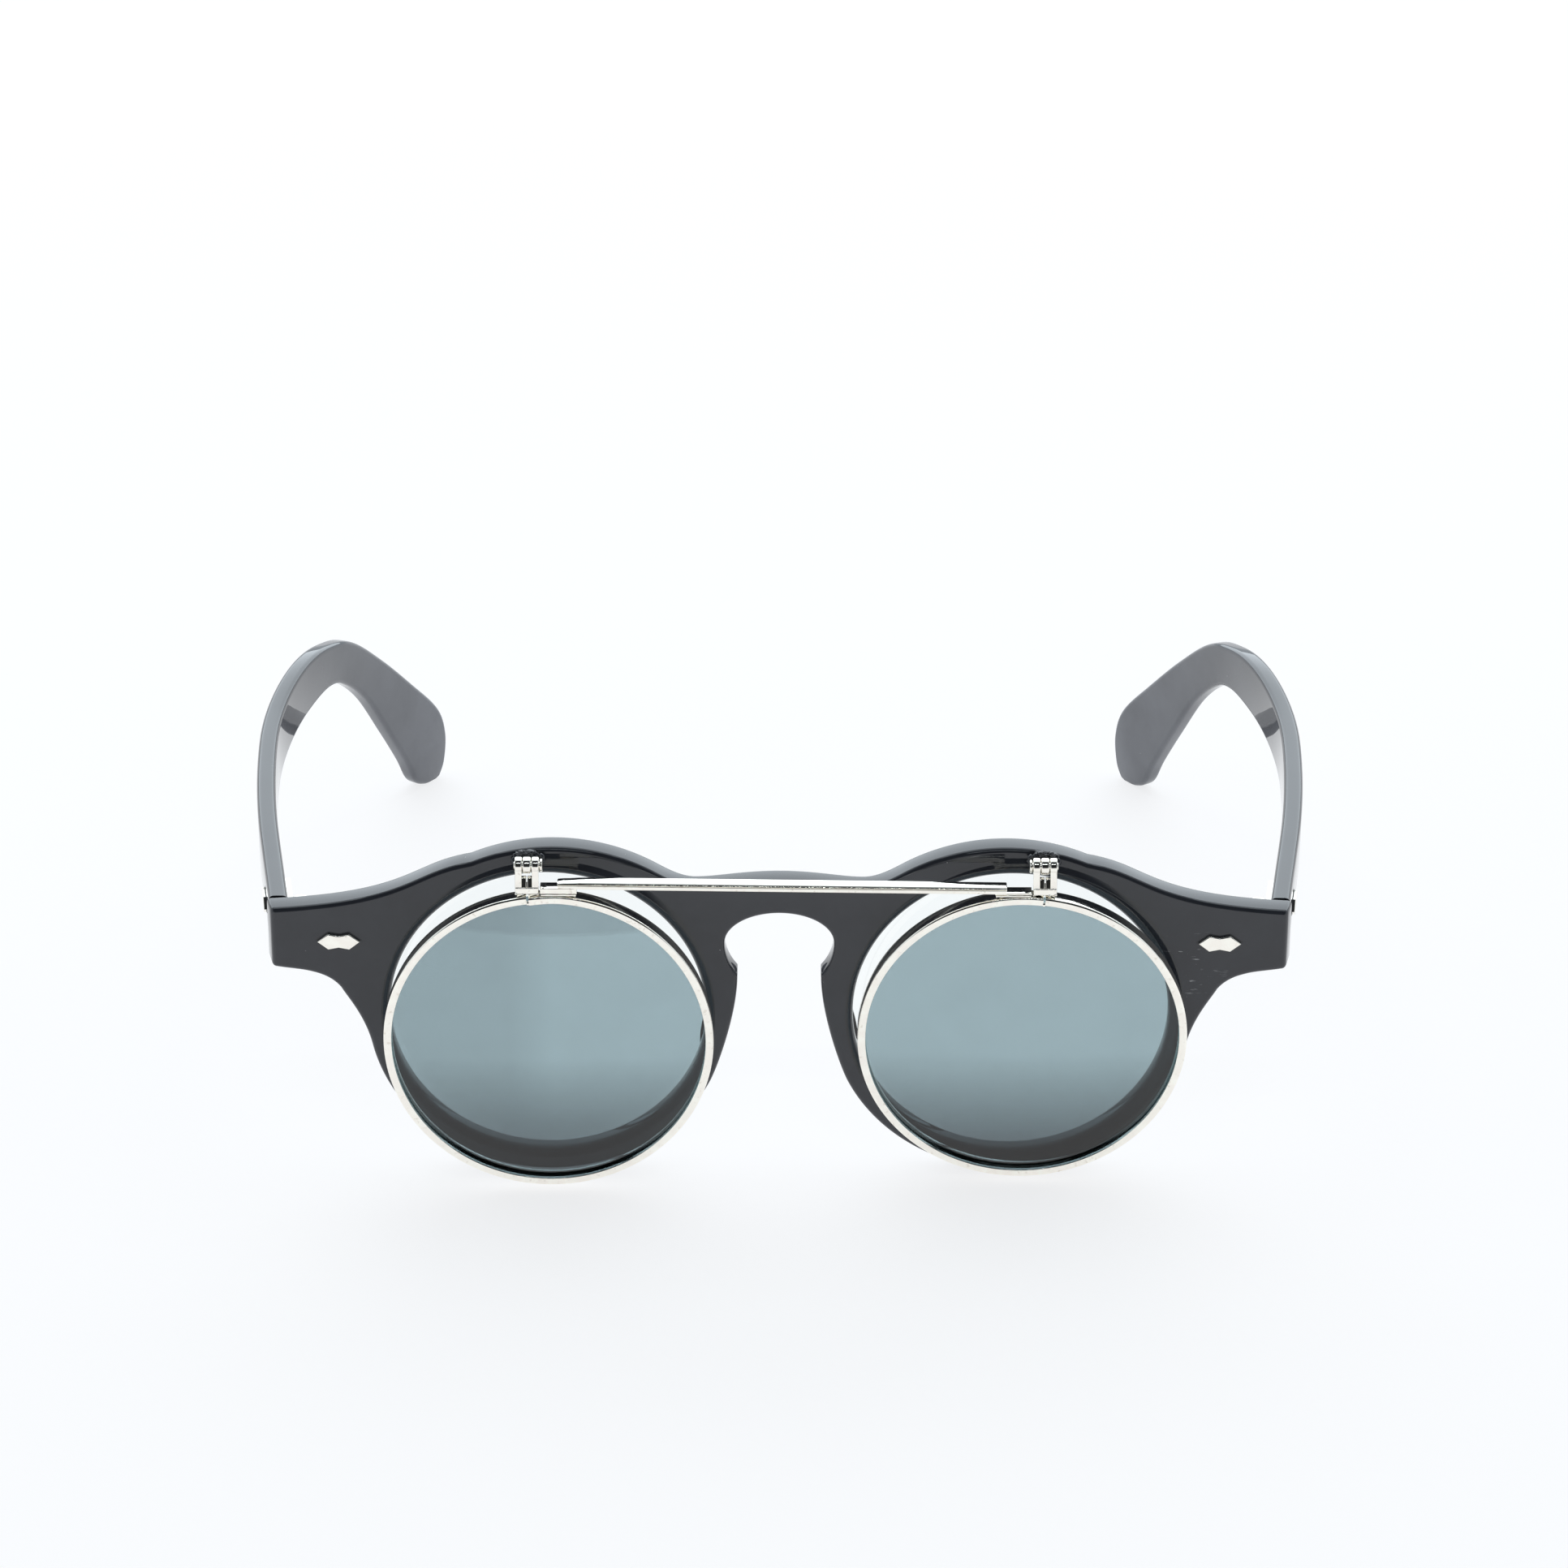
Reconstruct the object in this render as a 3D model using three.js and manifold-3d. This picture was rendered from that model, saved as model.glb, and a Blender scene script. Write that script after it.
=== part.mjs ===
// Round flip-up sunglasses. A black plastic front with a keyhole bridge carries two clear
// lenses and two folding temples. A plated metal unit, with two tinted lenses in round rims
// joined by a brow bar, hangs in front of it and flips up on two small hinges.
//
// Millimetres, +Z up. The wearer looks along -Y, and left and right are as seen from the
// front, so right is +X. Inside this file y = 0 is the flat front face of the plastic front,
// and z = 0 is the table that its rims and the temple tips rest on.

import * as THREE from 'three';
import { mergeVertices } from 'three/addons/utils/BufferGeometryUtils.js';
import Module from 'manifold-3d';

const wasm = await Module();
wasm.setup();

// ---- Driving dimensions --------------------------------------------------------------

const ORIGIN_Y = 58.8;                // from the front face back to the middle of the part

const FRONT = { halfWidth: 70.6, thickness: 3.8, bevel: 0.45, flare: 0.9 };
const OPENING = { x: 32, z: 24.9, radius: 21.8 };
const RIM_WALL = 3.1;                 // plastic around the lower half of each opening
const BRIDGE = { top: 45.8, dip: 44.9, dipX: 11.5 };
const ARCH = { x: 31, z: 23.5, radius: 27.4, from: 120, to: 66 };
const END_PIECE = { top: 41.35, bottom: 32.2, corner: 0.7 };
const KEYHOLE = { z: 36, halfWidth: 7.5, topHeight: 4.7, neckAngle: 40 };
const CLEAR_LENS = { radius: 22.4, edge: 1.6, sag: 1.0, grooveRadius: 22.6, grooveWidth: 1.9 };

const HINGE = { x: 66, y: 5.4, z: 37, barrel: 1.3, knuckle: 1.7, gap: 0.1, pin: 0.6 };
const PIN_CLEARANCE = 0.05;           // between every hinge pin and its bore
const LEAF = { thickness: 0.8, bottom: 34.6, top: 38.4 };
const FRONT_LEAF = { inner: 56.6, outer: 64.4 };
const TEMPLE_LEAF = { from: 3.4, to: 10.6, gap: 0.05, tabX: [66.5, 67.7], tabEnd: 8.6 };
const SCREW_HEAD = { radius: 1.05, height: 0.5, slot: 0.3 };
const RIVET = { x: 60.5, z: 36.5, length: 5.9, height: 2.4, waist: 1.8, proud: 0.5 };
const RIVET_PIN = { radius: 0.55, spacing: 2.6, clearance: 0.1 };

const TEMPLE = { x: 67.6, y: 4.1, thickness: 2.8, corner: 0.6, splay: 8 };
const TEMPLE_PLAN = [                 // stretches of the plan curve: length, turn in degrees
  { length: 20, turn: 0 },
  { length: 33, turn: -6.1 },
  { length: 75, turn: -41.2 },
];
const TEMPLE_EDGES = [                // top and lower edge, as [distance along, height]
  { top: [-1, 41.35], low: [-1, 33.2] },
  { top: [30, 40.2], low: [30, 31.9] },
  { top: [60, 39.0], low: [60, 30.5] },
  { top: [80, 38.2], low: [79, 30.2] },
  { top: [91, 36.1], low: [89.5, 29.6] },
  { top: [98.5, 33.0], low: [95.6, 27.0] },
  { top: [107, 26.3], low: [102, 21.4] },
  { top: [115, 18.7], low: [108.2, 12.8] },
  { top: [121.2, 12.2], low: [112.6, 6.0] },
  { top: [123.1, 7.4], low: [114.9, 1.7] },
  { top: [122.7, 2.8], low: [117.1, 0.2] },
  { top: [121.4, 0.6], low: [119.2, 0] },
];
const TEMPLE_RIVET_AT = 8.2;          // its middle, as distance along the temple

const FLIP_SHIFT = 0.9;               // the unit and its hinges sit this far right of the middle
const FLIP_AXIS = { x: 35.2, y: -3.0, z: 49.9 };
const FLIP_LEAN = 1.5;                // degrees that the closed unit leans in at the bottom
const RIM_LEAN = { left: -2, right: 1.3 };    // degrees more, as each rim is bent at its top
const FLIP_BARREL = { radius: 1.15, centre: 1.1, outer: 1.0, gap: 0.1, pin: 0.5 };
const FLIP_PIN_HEAD = { radius: 0.9, width: 0.35, gap: 0.1 };
const FLIP_ROOT = {                   // neck and foot that hold a flip hinge in the plastic
  neckBottom: -0.8, neckTop: 0.2, neckEnd: 1.2,
  footHalf: 1.4, footBottom: -1.9, footFrom: 0.9, footTo: 2.3, clearance: 0.1,
};
const FLIP_BOSS = { halfWidth: 2.1, halfHeight: 1.7, drop: 0.6, proud: 0.9, bevel: 0.3 };
const FORK_BLOCK = { halfWidth: 1.6, y: [-1.9, -0.1], z: [-3.55, -2.5] };
const FORK_ARM = { trim: 0.05, y: [-1.1, -0.2], bottom: -3 };
const FLIP_RIM = { x: 32.6, y: -1.15, z: -26.3, outer: 22.7, inner: 21.6, depth: 2.5 };
const FLIP_GROOVE = { radius: 22.3, width: 1.3 };
const FLIP_LENS = { radius: 22.1, edge: 0.9, sag: 1.0 };
const BAR_FOOT = { x: [28.4, 33.4], y: [-2.2, -0.4], bottom: -3.5, top: { left: -2.45, right: -3.05 } };
const BROW_BAR = { from: -31, to: 30, back: -0.7, front: -2.6, bottom: -3.0, top: -2.0, rise: 0.6 };

const NOSE_PAD = { x: 9.1, z: 22.5, halfWidth: 1.4, reach: 3.4, halfHeight: 5.6, turn: -14 };

// ---- Materials -----------------------------------------------------------------------

const plastic = new THREE.MeshStandardMaterial({ color: 0x141517, roughness: 0.12 });
const plated = new THREE.MeshStandardMaterial({ color: 0xd8d2c4, roughness: 0.15, metalness: 1 });
const tinted = new THREE.MeshStandardMaterial({ color: 0x5f7478, roughness: 0.05 });
const clear = new THREE.MeshStandardMaterial({ color: 0xe8eef0, roughness: 0.05 });
tinted.transparent = true;
tinted.opacity = 0.6;
clear.transparent = true;
clear.opacity = 0.2;

// ---- Solid tools ---------------------------------------------------------------------

const radians = THREE.MathUtils.degToRad;

// Merge shared vertices and drop the triangles that this leaves with no area.
function weld(geometry) {
  const bare = geometry.clone();
  bare.deleteAttribute('normal');
  bare.deleteAttribute('uv');
  const merged = mergeVertices(bare, 1e-4);
  const index = [];
  const all = merged.index.array;
  for (let i = 0; i < all.length; i += 3) {
    const [a, b, c] = [all[i], all[i + 1], all[i + 2]];
    if (a !== b && b !== c && c !== a) {
      index.push(a, b, c);
    }
  }
  merged.setIndex(index);
  return merged;
}

function toSolid(geometry) {
  const welded = weld(geometry);
  const vertProperties = Float32Array.from(welded.attributes.position.array);
  const triVerts = Uint32Array.from(welded.index.array);
  return new wasm.Manifold(new wasm.Mesh({ numProp: 3, vertProperties, triVerts }));
}

function toGeometry(solid) {
  const mesh = solid.getMesh();
  const geometry = new THREE.BufferGeometry();
  geometry.setAttribute('position', new THREE.BufferAttribute(mesh.vertProperties, 3));
  geometry.setIndex(new THREE.BufferAttribute(mesh.triVerts, 1));
  geometry.computeVertexNormals();
  return geometry;
}

function carve(base, joined, cut) {
  let solid = toSolid(base);
  for (const geometry of joined) {
    solid = solid.add(toSolid(geometry));
  }
  for (const geometry of cut) {
    solid = solid.subtract(toSolid(geometry));
  }
  return toGeometry(solid);
}

// The same geometry on the other side of x = 0, with its faces still pointing out.
function mirrored(geometry) {
  const copy = weld(geometry);
  copy.scale(-1, 1, 1);
  const index = copy.index.array;
  for (let i = 0; i < index.length; i += 3) {
    [index[i], index[i + 1]] = [index[i + 1], index[i]];
  }
  copy.computeVertexNormals();
  return copy;
}

function box([x0, x1], [y0, y1], [z0, z1]) {
  const geometry = new THREE.BoxGeometry(x1 - x0, y1 - y0, z1 - z0);
  return geometry.translate((x0 + x1) / 2, (y0 + y1) / 2, (z0 + z1) / 2);
}

function cylinder(radius, length, axis, [x, y, z], sides = 20) {
  const geometry = new THREE.CylinderGeometry(radius, radius, length, sides);
  if (axis === 'x') {
    geometry.rotateZ(-Math.PI / 2);
  } else if (axis === 'z') {
    geometry.rotateX(Math.PI / 2);
  }
  return geometry.translate(x, y, z);
}

// An outline in x and z, extruded from y0 to y1 with bevelled edges.
function plate(shape, y0, y1, bevel, curveSegments = 12) {
  const geometry = new THREE.ExtrudeGeometry(shape, {
    depth: y1 - y0 - 2 * bevel,
    bevelEnabled: bevel > 0,
    bevelThickness: bevel,
    bevelSize: bevel,
    bevelOffset: -bevel,
    bevelSegments: 1,
    curveSegments,
  });
  geometry.translate(0, 0, bevel);
  geometry.rotateX(Math.PI / 2);
  return geometry.translate(0, y1, 0);
}

// ---- Plastic front -------------------------------------------------------------------

function halfFrontOutline() {
  const path = new THREE.Path();
  const archStart = radians(ARCH.from);
  const startX = ARCH.x + ARCH.radius * Math.cos(archStart);
  const startZ = ARCH.z + ARCH.radius * Math.sin(archStart);
  const { halfWidth } = FRONT;
  const { top, bottom, corner } = END_PIECE;
  path.moveTo(0, BRIDGE.top);
  path.bezierCurveTo(5, BRIDGE.top, 8.5, BRIDGE.dip, BRIDGE.dipX, BRIDGE.dip);
  path.bezierCurveTo(13.5, BRIDGE.dip, 15.3, 46.05, startX, startZ);
  path.absarc(ARCH.x, ARCH.z, ARCH.radius, archStart, radians(ARCH.to), true);
  path.bezierCurveTo(50.8, 46.9, 50.3, 42.35, halfWidth - corner, top);
  path.lineTo(halfWidth, top - corner);
  path.lineTo(halfWidth, bottom + corner);
  path.lineTo(halfWidth - corner, bottom);
  path.bezierCurveTo(66.3, 31.6, 62.7, 31.9, 60.5, 29);
  path.bezierCurveTo(59.6, 27.3, 57.4, 24.5, 56.5, 20.5);
  const rim = OPENING.radius + RIM_WALL;
  path.absarc(OPENING.x, OPENING.z, rim, radians(-11), radians(-155), true);
  const neck = radians(-KEYHOLE.neckAngle);
  const neckX = KEYHOLE.halfWidth * Math.cos(neck);
  const neckZ = KEYHOLE.z + KEYHOLE.halfWidth * Math.sin(neck);
  path.bezierCurveTo(8.4, 16.7, neckX, 25, neckX, neckZ - 0.4);
  path.absarc(0, KEYHOLE.z, KEYHOLE.halfWidth, neck, 0, false);
  path.absellipse(0, KEYHOLE.z, KEYHOLE.halfWidth, KEYHOLE.topHeight, 0, Math.PI / 2, false);
  return path.getPoints(7);
}

function frontPlate() {
  const right = halfFrontOutline();
  const left = right.slice(1, -1).reverse().map((p) => new THREE.Vector2(-p.x, p.y));
  const shape = new THREE.Shape([...right, ...left]);
  for (const side of [-1, 1]) {
    const hole = new THREE.Path();
    hole.absarc(side * OPENING.x, OPENING.z, OPENING.radius, 0, 2 * Math.PI, false);
    shape.holes.push(hole);
  }
  return plate(shape, 0, FRONT.thickness, FRONT.bevel, 22);
}

const grooveY = FRONT.thickness / 2;

function lensGroove() {
  const { grooveRadius, grooveWidth } = CLEAR_LENS;
  return cylinder(grooveRadius, grooveWidth, 'y', [OPENING.x, grooveY, OPENING.z], 44);
}

// The plastic that rose around the root of a flip hinge as it was pressed in hot.
function hingeBoss() {
  const { halfWidth, halfHeight, drop, proud, bevel } = FLIP_BOSS;
  const shape = new THREE.Shape();
  shape.absellipse(FLIP_AXIS.x, FLIP_AXIS.z - drop, halfWidth, halfHeight, 0, 2 * Math.PI, false);
  return plate(shape, -proud, proud, bevel, 10);
}

// The root of a flip hinge: a neck into the plastic, and a wider foot inside it.
function hingeRoot(grow) {
  const { neckBottom, neckTop, neckEnd, footHalf, footBottom, footFrom, footTo } = FLIP_ROOT;
  const { x, y, z } = FLIP_AXIS;
  const wider = (from, to) => [from - grow, to + grow];
  const half = FLIP_BARREL.centre / 2;
  const neck = box(wider(x - half, x + half), [y, neckEnd], wider(z + neckBottom, z + neckTop));
  const foot = box(wider(x - footHalf, x + footHalf), wider(footFrom, footTo), wider(z + footBottom, z));
  return [neck, foot];
}

function rivetPins(grow, length, y) {
  return [-1, 1].map((end) => {
    const x = RIVET.x + (end * RIVET_PIN.spacing) / 2;
    return cylinder(RIVET_PIN.radius + grow, length, 'y', [x, y, RIVET.z], 14);
  });
}

function bothSides(geometries) {
  return [...geometries, ...geometries.map(mirrored)];
}

function atFlipHinges(geometries) {
  return bothSides(geometries).map((geometry) => geometry.translate(FLIP_SHIFT, 0, 0));
}

// What is cut off an end, so that its side flares out from the front face to the back.
function endSlant() {
  const { halfWidth, thickness, flare } = FRONT;
  const waste = box([0, 5], [-5, 10], [END_PIECE.bottom - 5, END_PIECE.top + 5]);
  waste.rotateZ(-Math.atan(flare / thickness));
  return waste.translate(halfWidth - flare, 0, 0);
}

function frontFrame() {
  const pins = rivetPins(RIVET_PIN.clearance, FRONT.thickness + 2, FRONT.thickness / 2);
  const sides = bothSides([endSlant(), lensGroove(), ...pins]);
  const cuts = [...sides, ...atFlipHinges(hingeRoot(FLIP_ROOT.clearance))];
  return carve(frontPlate(), atFlipHinges([hingeBoss()]), cuts);
}

function nosePad() {
  const pad = new THREE.SphereGeometry(1, 16, 10);
  pad.scale(NOSE_PAD.halfWidth, NOSE_PAD.reach, NOSE_PAD.halfHeight);
  pad.rotateY(radians(NOSE_PAD.turn));
  pad.translate(NOSE_PAD.x, FRONT.thickness, NOSE_PAD.z);
  const frontHalf = box([0, 20], [-5, FRONT.thickness], [0, 50]);
  return carve(pad, [], [frontHalf]);
}

// A lens bulging towards -Y, with its edge centred on y = 0.
function lens({ radius, edge, sag }, sides) {
  const rings = 3;
  const front = [];
  const back = [];
  for (let i = 0; i <= rings; i += 1) {
    const r = (radius * i) / rings;
    const bulge = sag * (1 - (i / rings) ** 2);
    front.push(new THREE.Vector2(r, -edge / 2 - bulge));
    back.unshift(new THREE.Vector2(r, edge / 2 - bulge));
  }
  return new THREE.LatheGeometry([...front, ...back], sides);
}

// ---- Temple hinge --------------------------------------------------------------------

function knuckle(z) {
  return cylinder(HINGE.barrel, HINGE.knuckle, 'z', [HINGE.x, HINGE.y, z]);
}

function pinHole() {
  return cylinder(HINGE.pin + PIN_CLEARANCE, 12, 'z', [HINGE.x, HINGE.y, HINGE.z], 14);
}

const knuckleStep = HINGE.knuckle + HINGE.gap;

function frontLeaf() {
  const y0 = FRONT.thickness;
  const y1 = y0 + LEAF.thickness;
  const base = box([FRONT_LEAF.inner, FRONT_LEAF.outer], [y0, y1], [LEAF.bottom, LEAF.top]);
  const joined = [];
  for (const z of [HINGE.z - knuckleStep, HINGE.z + knuckleStep]) {
    const half = HINGE.knuckle / 2;
    const arm = box([FRONT_LEAF.outer - 0.4, HINGE.x], [y0, y1], [z - half, z + half]);
    joined.push(arm, knuckle(z));
  }
  const pins = rivetPins(RIVET_PIN.clearance, 4, y0);
  return carve(base, joined, [pinHole(), ...pins]);
}

function hingeScrew() {
  const { radius, height, slot } = SCREW_HEAD;
  const { x, y } = HINGE;
  const length = 2 * knuckleStep + HINGE.knuckle;
  const z = HINGE.z + length / 2 + height / 2 + PIN_CLEARANCE;
  const shank = cylinder(HINGE.pin, length + height, 'z', [x, y, HINGE.z], 14);
  const cap = cylinder(radius, height, 'z', [x, y, z], 16);
  const groove = box([x - 2, x + 2], [y - slot / 2, y + slot / 2], [z, z + 1]);
  return carve(shank, [cap], [groove]);
}

// Six-sided plaque, pinched at the waist, centred on the origin and lying in x and z.
function rivetPlaque() {
  const [end, corner] = [RIVET.length / 2, RIVET.length / 2 - 1.5];
  const [tall, waist] = [RIVET.height / 2, RIVET.waist / 2];
  const half = [[end, 0], [corner, tall], [0, waist], [-corner, tall]];
  const points = [...half, ...half.map(([x, z]) => [-x, -z])];
  const shape = new THREE.Shape(points.map(([x, z]) => new THREE.Vector2(x, z)));
  return plate(shape, -RIVET.proud, 0, 0.2);
}

function frontRivet() {
  const plaque = rivetPlaque().translate(RIVET.x, 0, RIVET.z);
  const length = FRONT.thickness + LEAF.thickness + 0.2;
  return carve(plaque, rivetPins(0, length, length / 2 - 0.2), []);
}

// ---- Temple --------------------------------------------------------------------------

// Point and outward angle of the temple's inner face at a distance along it, seen from above.
function templePlan(distance) {
  let angle = radians(TEMPLE.splay);
  let { x, y } = TEMPLE;
  let left = distance;
  for (const { length, turn } of TEMPLE_PLAN) {
    const step = Math.min(left, length);
    const rate = radians(turn) / length;
    const next = angle + rate * step;
    if (rate === 0) {
      x += step * Math.sin(angle);
      y += step * Math.cos(angle);
    } else {
      x += (Math.cos(angle) - Math.cos(next)) / rate;
      y += (Math.sin(next) - Math.sin(angle)) / rate;
    }
    angle = next;
    left -= step;
    if (left <= 0) {
      break;
    }
  }
  return { x, y, angle };
}

function onTemple(distance, out, z) {
  const { x, y, angle } = templePlan(distance);
  return [x + out * Math.cos(angle), y - out * Math.sin(angle), z];
}

// Eight points round the temple, across its thickness, at one pair of edge points.
function templeSection(top, low) {
  const along = top.clone().sub(low);
  const corner = Math.min(TEMPLE.corner, along.length() * 0.35);
  along.setLength(corner);
  const upper = top.clone().sub(along);
  const lower = low.clone().add(along);
  const { thickness } = TEMPLE;
  const section = [
    [upper, 0], [top, corner], [top, thickness - corner], [upper, thickness],
    [lower, thickness], [low, thickness - corner], [low, corner], [lower, 0],
  ];
  return section.map(([point, out]) => onTemple(point.x, out, point.y));
}

function templeBlank() {
  const edge = (name) => new THREE.SplineCurve(
    TEMPLE_EDGES.map((pair) => new THREE.Vector2(...pair[name])),
  );
  const [top, low] = [edge('top'), edge('low')];
  const steps = 3 * (TEMPLE_EDGES.length - 1);
  const positions = [];
  const index = [];
  const sides = 8;
  for (let i = 0; i <= steps; i += 1) {
    positions.push(...templeSection(top.getPoint(i / steps), low.getPoint(i / steps)).flat());
  }
  for (let i = 0; i < steps; i += 1) {
    for (let j = 0; j < sides; j += 1) {
      const [a, b] = [i * sides + j, i * sides + ((j + 1) % sides)];
      index.push(a, b, a + sides, b, b + sides, a + sides);
    }
  }
  const last = steps * sides;
  for (let j = 1; j < sides - 1; j += 1) {
    index.push(0, j + 1, j, last, last + j, last + j + 1);
  }
  const geometry = new THREE.BufferGeometry();
  geometry.setAttribute('position', new THREE.Float32BufferAttribute(positions, 3));
  geometry.setIndex(index);
  return geometry;
}

// Turn a piece made with x outward and y along the temple onto the temple's straight stretch.
function placedOnTemple(geometry) {
  geometry.rotateZ(-radians(TEMPLE.splay));
  return geometry.translate(TEMPLE.x, TEMPLE.y, 0);
}

function templePins(grow, from, to) {
  return [-1, 1].map((end) => {
    const y = TEMPLE_RIVET_AT + (end * RIVET_PIN.spacing) / 2;
    const centre = [(from + to) / 2, y, RIVET.z];
    return placedOnTemple(cylinder(RIVET_PIN.radius + grow, to - from, 'x', centre, 14));
  });
}

function temple() {
  const ahead = box([60, 80], [0, TEMPLE.y], [20, 50]);
  return carve(templeBlank(), [], [ahead, ...templePins(RIVET_PIN.clearance, -2, 5)]);
}

function templeLeaf() {
  const { from, to, gap, tabX, tabEnd } = TEMPLE_LEAF;
  const half = HINGE.knuckle / 2;
  const sheet = box([-LEAF.thickness - gap, -gap], [from, to], [LEAF.bottom, LEAF.top]);
  const tab = box(tabX, [HINGE.y, tabEnd], [HINGE.z - half, HINGE.z + half]);
  const holes = [pinHole(), ...templePins(RIVET_PIN.clearance, -3, 1)];
  return carve(placedOnTemple(sheet), [tab, knuckle(HINGE.z)], holes);
}

function templeRivet() {
  const plaque = rivetPlaque().rotateZ(Math.PI / 2);
  plaque.translate(TEMPLE.thickness + TEMPLE_LEAF.gap, TEMPLE_RIVET_AT, RIVET.z);
  const pins = templePins(0, -LEAF.thickness - TEMPLE_LEAF.gap, TEMPLE.thickness + 0.3);
  return carve(placedOnTemple(plaque), pins, []);
}

// ---- Flip-up unit, drawn from its hinge axis -----------------------------------------

function flipBarrel(from, to, x, y, z) {
  return cylinder(FLIP_BARREL.radius, to - from, 'x', [x + (from + to) / 2, y, z]);
}

function flipPinHole(x, y, z) {
  return cylinder(FLIP_BARREL.pin + PIN_CLEARANCE, 8, 'x', [x, y, z], 14);
}

function flipBase() {
  const { x, y, z } = FLIP_AXIS;
  const half = FLIP_BARREL.centre / 2;
  return carve(flipBarrel(-half, half, x, y, z), hingeRoot(0), [flipPinHole(x, y, z)]);
}

const armInner = FLIP_BARREL.centre / 2 + FLIP_BARREL.gap;
const armOuter = armInner + FLIP_BARREL.outer;

function flipPin() {
  const { x, y, z } = FLIP_AXIS;
  const { radius, width, gap } = FLIP_PIN_HEAD;
  const shank = cylinder(FLIP_BARREL.pin, 2 * (armOuter + gap + 0.05), 'x', [x, y, z], 14);
  const headX = x - armOuter - width / 2 - gap;
  return carve(shank, [cylinder(radius, width, 'x', [headX, y, z], 16)], []);
}

function flipFork() {
  const { x } = FLIP_AXIS;
  const { trim, y, bottom } = FORK_ARM;
  const { halfWidth } = FORK_BLOCK;
  const block = box([x - halfWidth, x + halfWidth], FORK_BLOCK.y, FORK_BLOCK.z);
  const joined = [];
  for (const [from, to] of [[-armOuter, -armInner], [armInner, armOuter]]) {
    joined.push(flipBarrel(from, to, x, 0, 0));
    joined.push(box([x + from + trim, x + to - trim], y, [bottom, 0]));
  }
  return carve(block, joined, [flipPinHole(x, 0, 0)]);
}

function flipRim() {
  const { outer, inner, depth } = FLIP_RIM;
  const edge = depth / 2;
  const groove = FLIP_GROOVE.width / 2;
  const profile = [
    [inner, -edge], [outer - 0.15, -edge], [outer, 0.15 - edge], [outer, edge - 0.15],
    [outer - 0.15, edge], [inner, edge], [inner, groove + 0.1], [FLIP_GROOVE.radius, groove],
    [FLIP_GROOVE.radius, -groove], [inner, -groove - 0.1], [inner, -edge],
  ];
  return new THREE.LatheGeometry(profile.map(([r, y]) => new THREE.Vector2(r, y)), 48);
}

// A straight bar that rises by a small angle, in degrees, from its right end to its left.
function browBar() {
  const { from, to, back, front, bottom, top, rise } = BROW_BAR;
  const shape = new THREE.Shape();
  shape.moveTo(front, bottom + 0.1);
  shape.lineTo(front + 0.1, bottom);
  shape.lineTo(back, bottom);
  shape.lineTo(back, top - 0.25);
  shape.lineTo(back - 0.25, top);
  shape.lineTo(front, top);
  const bar = new THREE.ExtrudeGeometry(shape, { depth: to - from, bevelEnabled: false });
  bar.rotateX(Math.PI / 2);
  bar.rotateZ(Math.PI / 2);
  bar.translate(from - to, 0, 0);
  bar.rotateY(radians(rise));
  return bar.translate(to, 0, 0);
}

// The small plate on top of a rim that the end of the brow bar is soldered to.
function barFoot(top) {
  return box(BAR_FOOT.x, BAR_FOOT.y, [BAR_FOOT.bottom, top]);
}

// ---- Assembly ------------------------------------------------------------------------

const sunglasses = new THREE.Group();
sunglasses.position.set(0, -ORIGIN_Y, 0);

const flipHinges = new THREE.Group();
flipHinges.position.x = FLIP_SHIFT;
sunglasses.add(flipHinges);

const flipUnit = new THREE.Group();
flipUnit.position.set(FLIP_SHIFT, FLIP_AXIS.y, FLIP_AXIS.z);
flipUnit.rotation.x = radians(FLIP_LEAN);
sunglasses.add(flipUnit);

function addPiece(group, name, geometry, material) {
  const mesh = new THREE.Mesh(geometry, material);
  mesh.name = name;
  group.add(mesh);
}

function addPair(group, name, geometry, material) {
  addPiece(group, `${name}_left`, mirrored(geometry), material);
  addPiece(group, `${name}_right`, geometry, material);
}

const clearLens = lens(CLEAR_LENS, 44).translate(OPENING.x, grooveY, OPENING.z);

addPiece(sunglasses, 'front_frame', frontFrame(), plastic);
addPair(sunglasses, 'nose_pad', nosePad(), plastic);
addPair(sunglasses, 'clear_lens', clearLens, clear);
addPair(sunglasses, 'front_rivet', frontRivet(), plated);
addPair(sunglasses, 'hinge_front_leaf', frontLeaf(), plated);
addPair(sunglasses, 'hinge_screw', hingeScrew(), plated);
addPair(sunglasses, 'hinge_temple_leaf', templeLeaf(), plated);
addPair(sunglasses, 'temple', temple(), plastic);
addPair(sunglasses, 'temple_rivet', templeRivet(), plated);
addPair(flipHinges, 'flip_hinge_base', flipBase(), plated);
addPair(flipHinges, 'flip_hinge_pin', flipPin(), plated);
addPair(flipUnit, 'flip_hinge_fork', flipFork(), plated);
addPiece(flipUnit, 'bar_foot_left', mirrored(barFoot(BAR_FOOT.top.left)), plated);
addPiece(flipUnit, 'bar_foot_right', barFoot(BAR_FOOT.top.right), plated);
addPiece(flipUnit, 'brow_bar', browBar(), plated);

// Each rim hangs by its top, with its lens, at its own lean.
for (const [side, sign] of [['left', -1], ['right', 1]]) {
  const { x, y, z, outer } = FLIP_RIM;
  const hanging = new THREE.Group();
  hanging.position.set(sign * x, y, z + outer);
  hanging.rotation.x = radians(RIM_LEAN[side]);
  flipUnit.add(hanging);
  addPiece(hanging, `flip_rim_${side}`, flipRim().translate(0, 0, -outer), plated);
  addPiece(hanging, `flip_lens_${side}`, lens(FLIP_LENS, 44).translate(0, 0, -outer), tinted);
}

export default sunglasses;
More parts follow.
